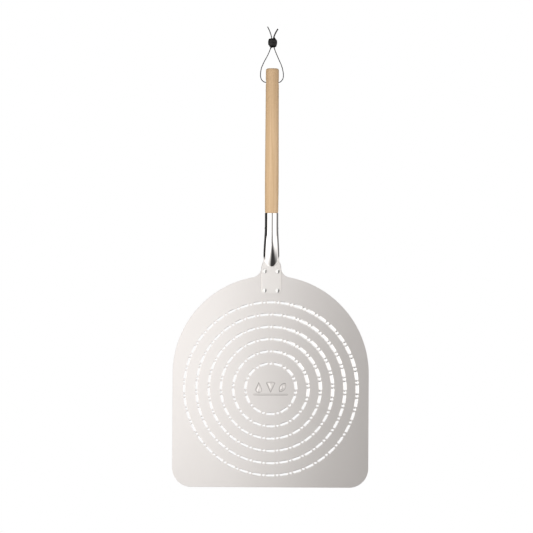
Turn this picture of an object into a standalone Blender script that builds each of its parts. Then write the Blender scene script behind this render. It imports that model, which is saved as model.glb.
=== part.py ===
"""A perforated pizza peel, lying on its blade, with its hanging thong laid out behind the handle.

Metres, +Z up. The origin is the common centre of the rings of slots, on the blade's underside.
+Y runs back along the handle and the front edge is at -Y, so left is -X.
"""

from math import asin, cos, degrees, pi, radians, sin, sqrt

import bmesh
import bpy
from mathutils import Matrix, Vector
from mathutils.geometry import delaunay_2d_cdt

MM = 0.001
GAP = 0.3 * MM                          # air left between pieces that touch
QUARTER_TURN = pi / 2

# Blade: an aluminium sheet with round front corners, a half circle behind and a tongue under the socket
BLADE_THICK = 2.0 * MM
BLADE_HALF_WIDTH = 177.8 * MM           # a 14 inch blade
BLADE_FRONT_Y = -178.5 * MM
BLADE_CORNER_R = 35.0 * MM
SHOULDER_Y = 27.4 * MM                  # centre of the half circle behind
TONGUE_HALF_WIDTH = 18.0 * MM
NECK_FILLET_R = 18.0 * MM

# Rings of slots with one dot between each two slots
RING_SLOTS = (11, 17, 23, 29, 35, 40)   # slots in each ring, from the centre out
FIRST_RING_R = 45.6 * MM
RING_PITCH = 22.25 * MM
SLOT_LENGTH = 14.5 * MM
SLOT_WIDTH = 3.8 * MM
SLOT_CORNER = 0.9 * MM                  # how far the corner cut runs along each side
DOT_R = 2.0 * MM
DOT_SIDES = 6

# Socket: a steel tube with a nearly straight underside, whose top is pressed down to a double plate
SHEET = 1.2 * MM
TUBE_R = 12.1 * MM
AXIS_Z = 15.05 * MM                     # height of the tube's and the handle's axis
TUBE_TOP_Z = AXIS_Z + TUBE_R
PLATE_Z = BLADE_THICK + GAP             # underside of the plate
PLATE_TOP_Z = PLATE_Z + 2 * SHEET
MOUTH_Y = 318.5 * MM                    # open end, where the handle goes in
SPREAD_START_Y = 296.0 * MM             # the tube starts to get wider here
PRESS_START_Y = 278.0 * MM              # its top starts to slope here
PRESS_TIP_Y = 221.1 * MM                # and runs out in the plate here
PRESS_CURVE = 1.4                       # exponent of the slope: 1 is straight, more is rounder at the start
ARCH_R = 14.4 * MM                      # half width of the tube where it meets the plate
FLANK_END_Y = 240.0 * MM                # the tube has its full flattened width here
FLARE_START_Y = 234.0 * MM              # from here the plate widens
FLARE_END_Y = 216.0 * MM
PLATE_HALF_WIDTH = 17.7 * MM
PLATE_END_Y = 173.1 * MM
PLATE_CORNER_R = 5.0 * MM
BORE_END_Y = 247.0 * MM
TUBE_STATIONS = 17                      # cross-sections along the pressed stretch
SECTION_POINTS = 14                     # points across the top, and again across the bottom

# Rivets: dome heads on the plate, shanks through plate and blade, tails flush in the blade's underside
RIVET_X = 11.7 * MM
RIVET_FRONT_Y = 178.4 * MM
RIVET_REAR_Y = 213.3 * MM
RIVET_HEAD_R = 4.0 * MM
RIVET_HEAD_HEIGHT = 1.8 * MM
RIVET_SHANK_R = 2.0 * MM
RIVET_TAIL_R = 3.0 * MM
RIVET_TAIL_Z = 0.05 * MM                # the tails end just above the underside

# Handle: turned beech with a spigot in the tube
SPIGOT_R = TUBE_R - SHEET - GAP
SPIGOT_END_Y = 279.5 * MM
SPIGOT_CHAMFER = 1.0 * MM
HANDLE_SHAPE = (                        # distance along Y, radius
    (MOUTH_Y + GAP, 12.0 * MM),
    (350.0 * MM, 12.3 * MM),
    (385.0 * MM, 12.4 * MM),
    (440.0 * MM, 12.15 * MM),
    (510.0 * MM, 11.9 * MM),
    (576.0 * MM, 11.8 * MM),
)
HANDLE_END_Y = 580.0 * MM
HANDLE_END_R = 4.0 * MM                 # rounding of the top end

# Cross pin through the tube and the spigot
PIN_Y = 290.8 * MM
PIN_R = 1.5 * MM
PIN_HALF_LENGTH = 12.5 * MM
PIN_ROUNDING = 0.4 * MM

# Hanging thong: a leather strip that stands on its edge
THONG_WIDTH = 4.5 * MM
THONG_THICK = 2.0 * MM
HOLE_Y = 554.8 * MM                     # cord hole across the handle
HOLE_R = 3.0 * MM
HOLE_MOUTH_R = 4.4 * MM
HOLE_MOUTH_DEPTH = 2.2 * MM
KNOT_CENTRE = (0.3 * MM, 627.0 * MM, 6.6 * MM)
KNOT_HALF_SIZE = (8.3 * MM, 9.4 * MM, 6.5 * MM)
THONG_STEPS = 3                         # spline points for each stretch between two route points

# The route's points in millimetres: out of the hole, round the end of the handle, down to the
# surface and up into the knot
RIGHT_ROUTE = (
    (0.2, 554.8, 15.05), (6.0, 554.8, 15.05), (12.0, 554.9, 14.95), (16.0, 557.0, 14.5),
    (19.2, 562.0, 13.2), (20.0, 569.0, 10.8), (18.8, 577.5, 7.6), (16.0, 587.0, 4.6),
    (12.2, 595.5, 3.0), (8.2, 604.5, 2.5), (5.2, 611.8, 3.0), (3.2, 617.3, 4.2),
)
LEFT_ROUTE = (
    (-0.2, 554.8, 15.05), (-6.0, 554.8, 15.05), (-12.4, 554.8, 14.95), (-17.0, 556.9, 14.5),
    (-20.4, 561.5, 13.2), (-21.5, 569.0, 10.8), (-20.2, 579.5, 7.4), (-16.8, 588.8, 4.5),
    (-12.6, 597.2, 2.9), (-8.6, 604.6, 2.5), (-5.6, 611.4, 3.0), (-3.4, 617.3, 4.2),
)
RIGHT_TAIL = ((2.2, 636.9, 4.0), (3.6, 641.0, 3.0), (6.2, 646.6, 2.5), (9.6, 652.4, 2.4))
LEFT_TAIL = ((-1.8, 636.9, 4.0), (-3.2, 642.5, 2.9), (-5.8, 649.5, 2.5), (-9.2, 656.3, 2.4))


def clear_scene():
    for thing in list(bpy.data.objects):
        bpy.data.objects.remove(thing)


def material(name, colour, roughness, metallic=0.0):
    made = bpy.data.materials.new(name)
    made.use_nodes = True
    shader = made.node_tree.nodes["Principled BSDF"]
    shader.inputs["Base Color"].default_value = (*colour, 1.0)
    shader.inputs["Roughness"].default_value = roughness
    shader.inputs["Metallic"].default_value = metallic
    return made


def add_mesh(name, bm, look=None):
    """Turn a bmesh into a named object with consistent outward faces and smooth round sides."""
    bmesh.ops.recalc_face_normals(bm, faces=bm.faces)
    mesh = bpy.data.meshes.new(name)
    bm.to_mesh(mesh)
    bm.free()
    mesh.shade_smooth()
    mesh.set_sharp_from_angle(angle=radians(30))
    made = bpy.data.objects.new(name, mesh)
    bpy.context.collection.objects.link(made)
    if look:
        mesh.materials.append(look)
    return made


def arc(centre_x, centre_y, radius, start_degrees, end_degrees, steps):
    """Points along an arc, both ends included."""
    points = []
    for i in range(steps + 1):
        angle = radians(start_degrees + (end_degrees - start_degrees) * i / steps)
        points.append((centre_x + radius * cos(angle), centre_y + radius * sin(angle)))
    return points


def circle(centre_x, centre_y, radius, sides):
    return arc(centre_x, centre_y, radius, 0, 360, sides)[:-1]


def smooth(value):
    """Ease from 0 to 1, flat at both ends."""
    t = min(1.0, max(0.0, value))
    return t * t * (3 - 2 * t)


def turned(name, profile, look=None, segments=32):
    """Spin a profile of (height, radius) points, which starts and ends on the axis, about local Z."""
    bm = bmesh.new()
    corners = [bm.verts.new((radius, 0.0, height)) for height, radius in profile]
    edges = [bm.edges.new(pair) for pair in zip(corners, corners[1:])]
    bmesh.ops.spin(
        bm, geom=corners + edges, axis=(0, 0, 1), cent=(0, 0, 0), angle=2 * pi, steps=segments,
    )
    bmesh.ops.remove_doubles(bm, verts=bm.verts, dist=0.001 * MM)
    return add_mesh(name, bm, look)


def along_y(thing, x, z):
    """Lay a turned piece along +Y."""
    thing.matrix_world = Matrix.Translation((x, 0, z)) @ Matrix.Rotation(-QUARTER_TURN, 4, "X")


def along_x(thing, y, z):
    """Lay a turned piece along +X."""
    thing.matrix_world = Matrix.Translation((0, y, z)) @ Matrix.Rotation(QUARTER_TURN, 4, "Y")


def cut(target, cutter):
    """Cut one object out of another with a Boolean, and keep the cutter as a wire guide."""
    cutter.hide_render = True
    cutter.display_type = "WIRE"
    modifier = target.modifiers.new(cutter.name, "BOOLEAN")
    modifier.operation = "DIFFERENCE"
    modifier.solver = "EXACT"
    modifier.object = cutter


# Blade

def blade_outline():
    """The outline, anticlockwise from the middle of the front edge."""
    reach = BLADE_HALF_WIDTH + NECK_FILLET_R
    fillet_x = TONGUE_HALF_WIDTH + NECK_FILLET_R
    fillet_y = SHOULDER_Y + sqrt(reach ** 2 - fillet_x ** 2)
    meeting = 90 - degrees(asin(fillet_x / reach))      # where the half circle turns into the fillet

    corner_x = BLADE_HALF_WIDTH - BLADE_CORNER_R
    corner_y = BLADE_FRONT_Y + BLADE_CORNER_R
    right = arc(corner_x, corner_y, BLADE_CORNER_R, -90, 0, 7)
    right += arc(0, SHOULDER_Y, BLADE_HALF_WIDTH, 0, meeting, 18)
    right += arc(fillet_x, fillet_y, NECK_FILLET_R, meeting + 180, 180, 6)[1:]
    right += arc(0, fillet_y, TONGUE_HALF_WIDTH, 0, 84, 7)[1:]
    left = [(-x, y) for x, y in reversed(right)]
    return right + left


def slot_outline(radius, bearing):
    """An oblong along its ring with its corners cut. The bearing turns clockwise from +Y."""
    half_length = SLOT_LENGTH / 2
    half_width = SLOT_WIDTH / 2
    corners = []
    for across, along in ((1, 1), (-1, 1), (-1, -1), (1, -1)):
        on_side = (across * half_length, along * (half_width - SLOT_CORNER))
        on_face = (across * (half_length - SLOT_CORNER), along * half_width)
        corners += [on_side, on_face] if across == along else [on_face, on_side]
    points = []
    for x, y in corners:
        turned_x = x * cos(bearing) + (y + radius) * sin(bearing)
        turned_y = (y + radius) * cos(bearing) - x * sin(bearing)
        points.append((turned_x, turned_y))
    return points


def ring_holes():
    """Outlines of every slot and dot. The odd rings have a dot at the back, the even one a slot."""
    holes = []
    for ring, slots in enumerate(RING_SLOTS):
        radius = FIRST_RING_R + ring * RING_PITCH
        pitch = 2 * pi / slots
        first_slot = 0.0 if slots % 2 == 0 else pitch / 2
        for i in range(slots):
            slot_bearing = first_slot + i * pitch
            dot_bearing = slot_bearing + pitch / 2
            holes.append(slot_outline(radius, slot_bearing))
            dot_x = radius * sin(dot_bearing)
            dot_y = radius * cos(dot_bearing)
            holes.append(circle(dot_x, dot_y, DOT_R, DOT_SIDES))
    return holes


def rivet_places():
    return {
        "rivet_front_left": (-RIVET_X, RIVET_FRONT_Y),
        "rivet_front_right": (RIVET_X, RIVET_FRONT_Y),
        "rivet_rear_left": (-RIVET_X, RIVET_REAR_Y),
        "rivet_rear_right": (RIVET_X, RIVET_REAR_Y),
    }


def blade_contours():
    """Each contour of the blade as a stack of (outline, height) levels, from underside to top."""
    outline = blade_outline()
    contours = [[(outline, 0.0), (outline, BLADE_THICK)]]
    for hole in ring_holes():
        contours.append([(hole, 0.0), (hole, BLADE_THICK)])
    for x, y in rivet_places().values():
        wide = circle(x, y, RIVET_TAIL_R + GAP, 12)
        narrow = circle(x, y, RIVET_SHANK_R + GAP, 12)
        contours.append([(wide, 0.0), (narrow, BLADE_THICK)])
    return contours


def pierced_sheet(contours):
    """A closed sheet: the same triangles on the underside and the top, and walls along each contour."""
    bm = bmesh.new()
    flat_points = []
    flat_edges = []
    contour_of = []
    low_verts = []
    high_verts = []
    for number, levels in enumerate(contours):
        first = len(flat_points)
        count = len(levels[0][0])
        contour_of += [number] * count
        flat_points += [Vector(point) for point in levels[0][0]]
        flat_edges += [(first + i, first + (i + 1) % count) for i in range(count)]
        stack = [[bm.verts.new((x, y, z)) for x, y in outline] for outline, z in levels]
        for lower, upper in zip(stack, stack[1:]):
            for i in range(count):
                j = (i + 1) % count
                bm.faces.new((lower[i], lower[j], upper[j], upper[i]))
        low_verts += stack[0]
        high_verts += stack[-1]

    inside_outline = 1
    filled = delaunay_2d_cdt(flat_points, flat_edges, [], inside_outline, 0.001 * MM)
    sources = [ids[0] for ids in filled[3]]
    for triangle in filled[2]:
        ids = [sources[corner] for corner in triangle]
        touched = {contour_of[i] for i in ids}
        in_hole = len(touched) == 1 and 0 not in touched    # contour 0 is the outer edge
        if not in_hole:
            bm.faces.new([low_verts[i] for i in reversed(ids)])
            bm.faces.new([high_verts[i] for i in ids])
    return bm


def make_blade(look):
    add_mesh("blade", pierced_sheet(blade_contours()), look)


# Socket

def socket_spread(y):
    """How far the tube's section at y has gone from round, 0, to its full flattened width, 1."""
    return smooth((SPREAD_START_Y - y) / (SPREAD_START_Y - FLANK_END_Y))


def socket_half_width(y):
    flared = smooth((FLARE_START_Y - y) / (FLARE_START_Y - FLARE_END_Y))
    width = TUBE_R + (ARCH_R - TUBE_R) * socket_spread(y) + (PLATE_HALF_WIDTH - ARCH_R) * flared
    into_corner = PLATE_END_Y + PLATE_CORNER_R - y
    if into_corner > 0:
        width -= PLATE_CORNER_R - sqrt(max(0.0, PLATE_CORNER_R ** 2 - into_corner ** 2))
    return width


def socket_top(y):
    """Height of the arch's crest. It eases into its slope, and sinks into the plate past the tip."""
    if y >= PRESS_START_Y:
        return TUBE_TOP_Z
    to_start = (PRESS_START_Y - y) / (PRESS_START_Y - PRESS_TIP_Y)
    return TUBE_TOP_Z - (TUBE_TOP_Z - PLATE_TOP_Z) * to_start ** PRESS_CURVE


def socket_base(y):
    """Height of the underside: the tube's is a little above the plate's."""
    tube_z = AXIS_Z - TUBE_R
    return tube_z + (PLATE_Z - tube_z) * socket_spread(y)


def edge_bulge(x, half_width, radius):
    """Half the height at x of a bar with half-round edges."""
    past = max(0.0, abs(x) - (half_width - radius)) / radius
    return radius * sqrt(max(0.0, 1 - past ** 2))


def socket_section(y, inset=0.0):
    """Closed cross-section at y: an arch on a double plate. With an inset, the inside of the wall."""
    half_width = socket_half_width(y) - inset
    arch_r = min(socket_half_width(y), ARCH_R) - inset
    arch_centre = socket_top(y) - inset - arch_r
    base = socket_base(y) + inset
    edge_r = max(SHEET, arch_centre - base)

    top = []
    bottom = []
    for i in range(SECTION_POINTS + 1):
        x = half_width * cos(pi * i / SECTION_POINTS)
        bulge = edge_bulge(x, half_width, edge_r)
        arch = arch_centre + sqrt(max(0.0, arch_r ** 2 - x ** 2))
        top.append((x, y, max(base + edge_r + bulge, arch)))
        bottom.append((x, y, base + edge_r - bulge))
    return top + bottom[-2:0:-1]


def socket_stations():
    """Where the socket's cross-sections stand, from the end of the plate to the mouth."""
    stations = [PLATE_END_Y + PLATE_CORNER_R * (1 - cos(radians(a))) for a in (0, 30, 60, 90)]
    stations.append(FLARE_END_Y)
    pressed = SPREAD_START_Y - FLARE_END_Y
    stations += [FLARE_END_Y + pressed * i / TUBE_STATIONS for i in range(1, TUBE_STATIONS + 1)]
    stations.append(MOUTH_Y)
    return stations


def socket_rings():
    """The outer cross-sections up to the mouth, then the bore's back down to its closed end."""
    outer = [socket_section(y) for y in socket_stations()]
    bore_stations = [y for y in reversed(socket_stations()) if y > BORE_END_Y]
    bore = [socket_section(y, SHEET) for y in bore_stations]
    return outer + bore


def loft(name, rings, look=None):
    """Skin equal rings of points in turn and close both ends."""
    bm = bmesh.new()
    loops = [[bm.verts.new(point) for point in ring] for ring in rings]
    count = len(loops[0])
    for near, far in zip(loops, loops[1:]):
        for i in range(count):
            j = (i + 1) % count
            bm.faces.new((near[i], near[j], far[j], far[i]))
    bm.faces.new(loops[0])
    bm.faces.new(loops[-1])
    return add_mesh(name, bm, look)


def make_socket(look):
    socket = loft("socket", socket_rings(), look)
    drill_half = PLATE_TOP_Z
    for name, (x, y) in rivet_places().items():
        drill_r = RIVET_SHANK_R + GAP
        profile = ((-drill_half, 0), (-drill_half, drill_r), (drill_half, drill_r), (drill_half, 0))
        drill = turned("drill_" + name, profile, segments=12)
        drill.location = (x, y, PLATE_TOP_Z)
        cut(socket, drill)
    cut(socket, pin_drill("drill_socket_pin"))


def make_rivets(look):
    head_z = PLATE_TOP_Z + GAP
    dome_r = (RIVET_HEAD_R ** 2 + RIVET_HEAD_HEIGHT ** 2) / (2 * RIVET_HEAD_HEIGHT)
    dome_z = head_z + RIVET_HEAD_HEIGHT - dome_r
    rim = degrees(asin(RIVET_HEAD_R / dome_r))
    profile = [(RIVET_TAIL_Z, 0), (RIVET_TAIL_Z, RIVET_TAIL_R), (BLADE_THICK, RIVET_SHANK_R)]
    profile += [(head_z, RIVET_SHANK_R)]
    profile += [(z, r) for z, r in arc(dome_z, 0, dome_r, rim, 0, 4)]
    for name, (x, y) in rivet_places().items():
        rivet = turned(name, profile, look, segments=16)
        rivet.location = (x, y, 0)


# Handle and its pin

def pin_drill(name):
    radius = PIN_R + GAP
    half = PIN_HALF_LENGTH + 2 * MM
    drill = turned(name, ((-half, 0), (-half, radius), (half, radius), (half, 0)), segments=12)
    along_x(drill, PIN_Y, AXIS_Z)
    return drill


def make_pin(look):
    half = PIN_HALF_LENGTH
    shoulder = half - PIN_ROUNDING
    tip_r = PIN_R - PIN_ROUNDING
    profile = ((-half, 0), (-half, tip_r), (-shoulder, PIN_R), (shoulder, PIN_R), (half, tip_r), (half, 0))
    along_x(turned("socket_pin", profile, look, segments=12), PIN_Y, AXIS_Z)


def make_handle(look):
    profile = [(SPIGOT_END_Y, 0), (SPIGOT_END_Y, SPIGOT_R - SPIGOT_CHAMFER)]
    profile += [(SPIGOT_END_Y + SPIGOT_CHAMFER, SPIGOT_R), (HANDLE_SHAPE[0][0], SPIGOT_R)]
    profile += HANDLE_SHAPE
    end_y = HANDLE_END_Y - HANDLE_END_R
    end_r = HANDLE_SHAPE[-1][1] - HANDLE_END_R
    profile += arc(end_y, end_r, HANDLE_END_R, 90, 0, 4)[1:]
    profile += [(HANDLE_END_Y, 0)]
    handle = turned("handle", profile, look, segments=40)
    along_y(handle, 0, AXIS_Z)

    surface = HANDLE_SHAPE[-1][1]
    throat = surface - HOLE_MOUTH_DEPTH
    past = surface + HOLE_MOUTH_DEPTH
    past_r = HOLE_R + 2 * (HOLE_MOUTH_R - HOLE_R)
    hole = ((-past, 0), (-past, past_r), (-throat, HOLE_R), (throat, HOLE_R), (past, past_r), (past, 0))
    hole_drill = turned("drill_cord_hole", hole, segments=24)
    along_x(hole_drill, HOLE_Y, AXIS_Z)
    cut(handle, hole_drill)
    cut(handle, pin_drill("drill_handle_pin"))


# Hanging thong

def curve_through(route):
    """Points of a Catmull-Rom curve through the route, in metres."""
    knots = [Vector(point) * MM for point in route]
    padded = [2 * knots[0] - knots[1]] + knots + [2 * knots[-1] - knots[-2]]
    points = []
    for before, start, end, after in zip(padded, padded[1:], padded[2:], padded[3:]):
        for step in range(THONG_STEPS):
            t = step / THONG_STEPS
            bend = 2 * before - 5 * start + 4 * end - after
            twist = 3 * start - 3 * end + after - before
            points.append((2 * start + (end - before) * t + bend * t ** 2 + twist * t ** 3) / 2)
    return points + [knots[-1]]


def make_strip(name, route, look):
    """A flat strip on edge along a route: its width stands upright, its ends are closed."""
    curve = bpy.data.curves.new(name, "CURVE")
    curve.dimensions = "3D"
    curve.twist_mode = "Z_UP"
    curve.bevel_depth = THONG_THICK / 2
    curve.bevel_resolution = 2
    curve.extrude = (THONG_WIDTH - THONG_THICK) / 2
    curve.use_fill_caps = True
    points = curve_through(route)
    spline = curve.splines.new("POLY")
    spline.points.add(len(points) - 1)
    for spot, point in zip(spline.points, points):
        spot.co = (*point, 1.0)
    curve.materials.append(look)
    bpy.context.collection.objects.link(bpy.data.objects.new(name, curve))


def make_knot(look):
    bm = bmesh.new()
    bmesh.ops.create_icosphere(bm, subdivisions=3, radius=1.0)
    bmesh.ops.scale(bm, verts=bm.verts, vec=KNOT_HALF_SIZE)
    knot = add_mesh("thong_knot", bm, look)
    knot.location = KNOT_CENTRE


def make_thong(look):
    make_strip("thong_left", LEFT_ROUTE, look)
    make_strip("thong_right", RIGHT_ROUTE, look)
    make_strip("thong_tail_left", LEFT_TAIL, look)
    make_strip("thong_tail_right", RIGHT_TAIL, look)
    make_knot(look)


def pivot_thong():
    """Parent the thong to an empty on the cord hole, about whose X axis the loop swings."""
    pivot = bpy.data.objects.new("thong_pivot", None)
    pivot.location = (0, HOLE_Y, AXIS_Z)
    bpy.context.collection.objects.link(pivot)
    bpy.context.view_layer.update()
    for thing in bpy.data.objects:
        if thing.name.startswith("thong_") and thing is not pivot:
            thing.parent = pivot
            thing.matrix_parent_inverse = pivot.matrix_world.inverted()


def main():
    clear_scene()
    make_blade(material("satin_aluminium", (0.72, 0.70, 0.67), 0.45, 1.0))
    polished = material("polished_steel", (0.80, 0.78, 0.76), 0.12, 1.0)
    make_socket(polished)
    make_rivets(material("rivet_steel", (0.84, 0.83, 0.81), 0.15, 1.0))
    make_handle(material("beech", (0.66, 0.46, 0.26), 0.55))
    make_pin(material("pin_steel", (0.45, 0.44, 0.43), 0.30, 1.0))
    make_thong(material("black_leather", (0.03, 0.028, 0.026), 0.45))
    pivot_thong()


main()
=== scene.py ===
"""The look of the pizza peel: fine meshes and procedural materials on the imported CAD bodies."""

from math import asin, atan2, cos, degrees, hypot, pi, radians, sin, sqrt, tan

import bmesh
import bpy
from mathutils import Matrix, Vector
from mathutils.geometry import delaunay_2d_cdt


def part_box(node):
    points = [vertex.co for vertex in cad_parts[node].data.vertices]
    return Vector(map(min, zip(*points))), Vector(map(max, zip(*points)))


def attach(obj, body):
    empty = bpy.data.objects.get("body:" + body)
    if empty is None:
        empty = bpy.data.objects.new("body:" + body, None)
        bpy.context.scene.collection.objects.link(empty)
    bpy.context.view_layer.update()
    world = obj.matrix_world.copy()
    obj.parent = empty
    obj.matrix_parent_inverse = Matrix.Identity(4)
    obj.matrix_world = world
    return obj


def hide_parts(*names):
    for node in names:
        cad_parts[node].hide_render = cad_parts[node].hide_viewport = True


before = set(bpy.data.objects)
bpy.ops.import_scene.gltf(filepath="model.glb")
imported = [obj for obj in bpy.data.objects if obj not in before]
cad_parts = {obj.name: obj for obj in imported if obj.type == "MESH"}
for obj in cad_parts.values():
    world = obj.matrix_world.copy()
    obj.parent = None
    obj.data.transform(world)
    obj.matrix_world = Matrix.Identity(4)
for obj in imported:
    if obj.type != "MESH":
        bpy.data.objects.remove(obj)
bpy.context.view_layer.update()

MM = 0.001
PEEL = "peel"                               # the CAD bodies
LOOP = "hanging_loop"

# Blade, from the CAD node's box
blade_low, blade_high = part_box("blade")
BLADE_HALF_WIDTH = blade_high.x
BLADE_FRONT_Y = blade_low.y
BLADE_THICK = blade_high.z
BLADE_CORNER_R = 35.0 * MM
SHOULDER_Y = 27.4 * MM
TONGUE_HALF_WIDTH = 18.0 * MM
NECK_FILLET_R = 18.0 * MM
EDGE_BREAK = 0.15 * MM                      # the sheet's outer edges are just taken off
PUNCHED_EDGE = (                            # rounding of the holes' top edges: distance out, depth
    (0.0, 0.40 * MM), (0.14 * MM, 0.18 * MM), (0.34 * MM, 0.06 * MM), (0.62 * MM, 0.0),
)
SOFT_EDGE = (                               # a wider one, for how the holes behind on the right look
    (0.0, 0.50 * MM), (0.30 * MM, 0.29 * MM), (0.62 * MM, 0.17 * MM), (1.4 * MM, 0.0),
)
SOFT_BEARINGS = (-6, 26, 83, 118)           # degrees clockwise from +Y: it sets in, is full, fades, ends
SOFT_RADII = (28.0 * MM, 73.0 * MM)         # from the middle of the rings: it sets in, is full
LEVEL = 0.999                               # a face is level if its normal is at least this upright
RUBBED_LENGTH = 30.0 * MM                   # of the rubbed finish behind the front edge
PAINTED_SHADE, BURNISHED = 1, 2                    # the blade's second and third material; the second is painted shade, a darker metal on the engraving's outer walls

# Rings of slots and dots
RING_SLOTS = (11, 17, 23, 29, 35, 40)
FIRST_RING_R = 45.6 * MM
RING_PITCH = 22.25 * MM
SLOT_LENGTH = 14.5 * MM
SLOT_WIDTH = 3.8 * MM
SLOT_CORNER_R = 1.2 * MM
DOT_R = 2.0 * MM

# Engraved mark in the middle: a drop, a slice and a leaf on a line
MARK_DEPTH = 0.5 * MM
MARK_PITCH = 21.5 * MM
MARK_HALF_HEIGHT = 10.0 * MM
MARK_RAISE = 2.6 * MM                       # the shapes' centre, behind the middle of the blade
DROP_R = 5.8 * MM
SLICE_HALF_ANGLE = 25
LEAF_R = 11.5 * MM
LEAF_HALF_ANGLE = 58
LEAF_TILT = -35
MARK_TRENCH = (                             # each shape's trench round an island: size, depth
    (1.0, 0.0), (0.82, MARK_DEPTH), (0.52, MARK_DEPTH), (0.34, 0.0),
)
LINE_HALF_LENGTH = 31.0 * MM
LINE_HALF_WIDTH = 1.3 * MM
LINE_Y = -10.6 * MM

# Handle
handle_low, handle_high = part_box("handle")
AXIS_Z = (handle_low.z + handle_high.z) / 2
HANDLE_END_Y = handle_high.y
HANDLE_END_R = 4.0 * MM
HANDLE_SHAPE = (
    (318.8 * MM, 12.0 * MM), (350.0 * MM, 12.3 * MM), (385.0 * MM, 12.4 * MM),
    (440.0 * MM, 12.15 * MM), (510.0 * MM, 11.9 * MM), (576.0 * MM, 11.8 * MM),
)
SHOULDER_BREAK = 0.4 * MM
HOLE_Y = 554.8 * MM
HOLE_R = 3.0 * MM
HOLE_ROUNDING = 1.3 * MM
HOLE_SINK = 0.25 * MM                       # the rounding ends this far under the handle's surface
CUTTER_REACH = 3.0 * MM                     # and the hole's cutter goes this far past the surface,
CUTTER_FLARE = 1.0 * MM                     # where it is this much wider
SPIGOT_CHAMFER = 1.0 * MM
DARKER_FROM_Y = 440.0 * MM                  # the beech darkens from here to its end

# Socket
socket_low, socket_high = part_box("socket")
SHEET = 1.2 * MM
SHEET_ROUNDING = 0.3 * MM                   # of the sheet's edges at the mouth and at the plate's end
END_FACE_WIDTH = 0.97                       # of the plate's end face, as a share of the section behind it
TUBE_TOP_Z = socket_high.z
TUBE_R = TUBE_TOP_Z - AXIS_Z
PLATE_Z = socket_low.z
PLATE_TOP_Z = PLATE_Z + 2 * SHEET
SPIGOT_GAP = 0.3 * MM
SPIGOT_R = TUBE_R - SHEET - SPIGOT_GAP
MOUTH_Y = socket_high.y
PLATE_END_Y = socket_low.y
SPREAD_START_Y = 296.0 * MM
PRESS_START_Y = 278.0 * MM
PRESS_TIP_Y = 221.1 * MM
PRESS_CURVE = 1.4
ARCH_R = 14.4 * MM
FLANK_END_Y = 240.0 * MM
FLARE_START_Y = 234.0 * MM
FLARE_END_Y = 216.0 * MM
PLATE_HALF_WIDTH = 17.7 * MM
PLATE_CORNER_R = 5.0 * MM
CREASE = 0.5 * MM                           # softness of the crease between tube and plate
CREASE_REACH = 12                           # power that keeps the crease's softness off the edges
DULL_RISE = (0.35 * MM, 0.9 * MM)           # the dull finish fades out this far above the plate,
DULL_REACH = (17.0 * MM, 20.0 * MM)         # and this far behind the pressed arch's tip
SECTION_POINTS = 56

# Rivets and pin
RIVET_HEAD_R = 3.9 * MM
RIVET_HEAD_HEIGHT = 1.8 * MM
RIVET_SHANK_R = 2.0 * MM
RIVET_TAIL_R = 3.0 * MM
RIVET_DOME_RISE = 0.42 * MM
RIVET_ROUNDING = 0.25 * MM                  # of the head's rim
RIVET_TILT = 1.5                            # degrees the heads lean, their left side low
RIVET_GAP = 0.02 * MM                       # under the head
RIVET_RECESS = 0.05 * MM                    # of the tail in the blade's underside
RIVET_PLAY = 0.1 * MM                       # round the shank and the tail
PIN_HEAD_R = 2.1 * MM
PIN_SINK = 0.1 * MM                         # of the heads' rims in the tube's round side

# Thong
THONG_WIDTH = 4.5 * MM
THONG_THICK = 1.5 * MM
KNOT_CENTRE = Vector((0.3, 627.0, 6.6)) * MM
KNOT_HALF_WIDTH = 7.0 * MM                  # these three are those of the egg that the turns lie on
KNOT_HALF_LENGTH = 10.5 * MM
KNOT_HALF_HEIGHT = 5.3 * MM
CORE_HALF_LENGTH = 9.8 * MM                 # of the two strands' way through the knot
CORE_APART = 2.0 * MM                       # a strand's distance from their middle, at the tails
CORE_SPREAD = 1.3 * MM                      # what it is more where they come in
CORE_SHIFT = -0.3 * MM                      # of the strands' middle from the knot's
CORE_DROP = 2.5 * MM                        # of the strands at both ends
WRAP_WIDTH = 6.2 * MM                       # the turns are the two strands pressed together
WRAP_THICK = 2.2 * MM
WRAP_START, WRAP_END = 60, 1020             # degrees about the knot's length, from its top
WRAP_REACH = 7.5 * MM                       # the turns' middle goes this far to each end
WRAP_TUCK = 0.12                            # share of the turns, at each end, over which they sink in
WRAP_SUNK = 0.75                            # the turns' size at their two ends, as a share
WRAP_LOOSE, WRAP_TIGHT = 1.04, 0.98         # size of the first and of the last turn, as a share
RIPPLE = 0.035                              # unevenness of the turns, as a share of their size
RIPPLES = 5                                 # in each turn
RIPPLE_PHASE = 0.8

# Camera
LENS = 250                                  # mm
SENSOR_WIDTH = 36                           # mm
FRAME_WIDTH = 966.0 * MM                    # seen at the height of the blade's top
CAMERA_X, CAMERA_Y = -8.7 * MM, 221.7 * MM
CAMERA_TURN = 0.32                          # degrees

# Studio light. Brightness of its parts:
WALL_LEVEL = 1.25
LEFT_LEVEL = 1.9
GAP_LEVEL, GAP_FRONT_LEVEL = 0.33, 0.045    # overhead, and at GAP_FRONT
LEFT_FOOT_LEVEL, RIGHT_FOOT_LEVEL = 0.05, 0.2    # under the walls
BACK_LEVEL = 0.4                            # of the walls' own brightness, low behind the handle
SEEN_LEVEL = 1.04                           # the background itself, just past white
LIGHT_COLOUR = (1.0, 0.985, 0.97, 1)

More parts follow.
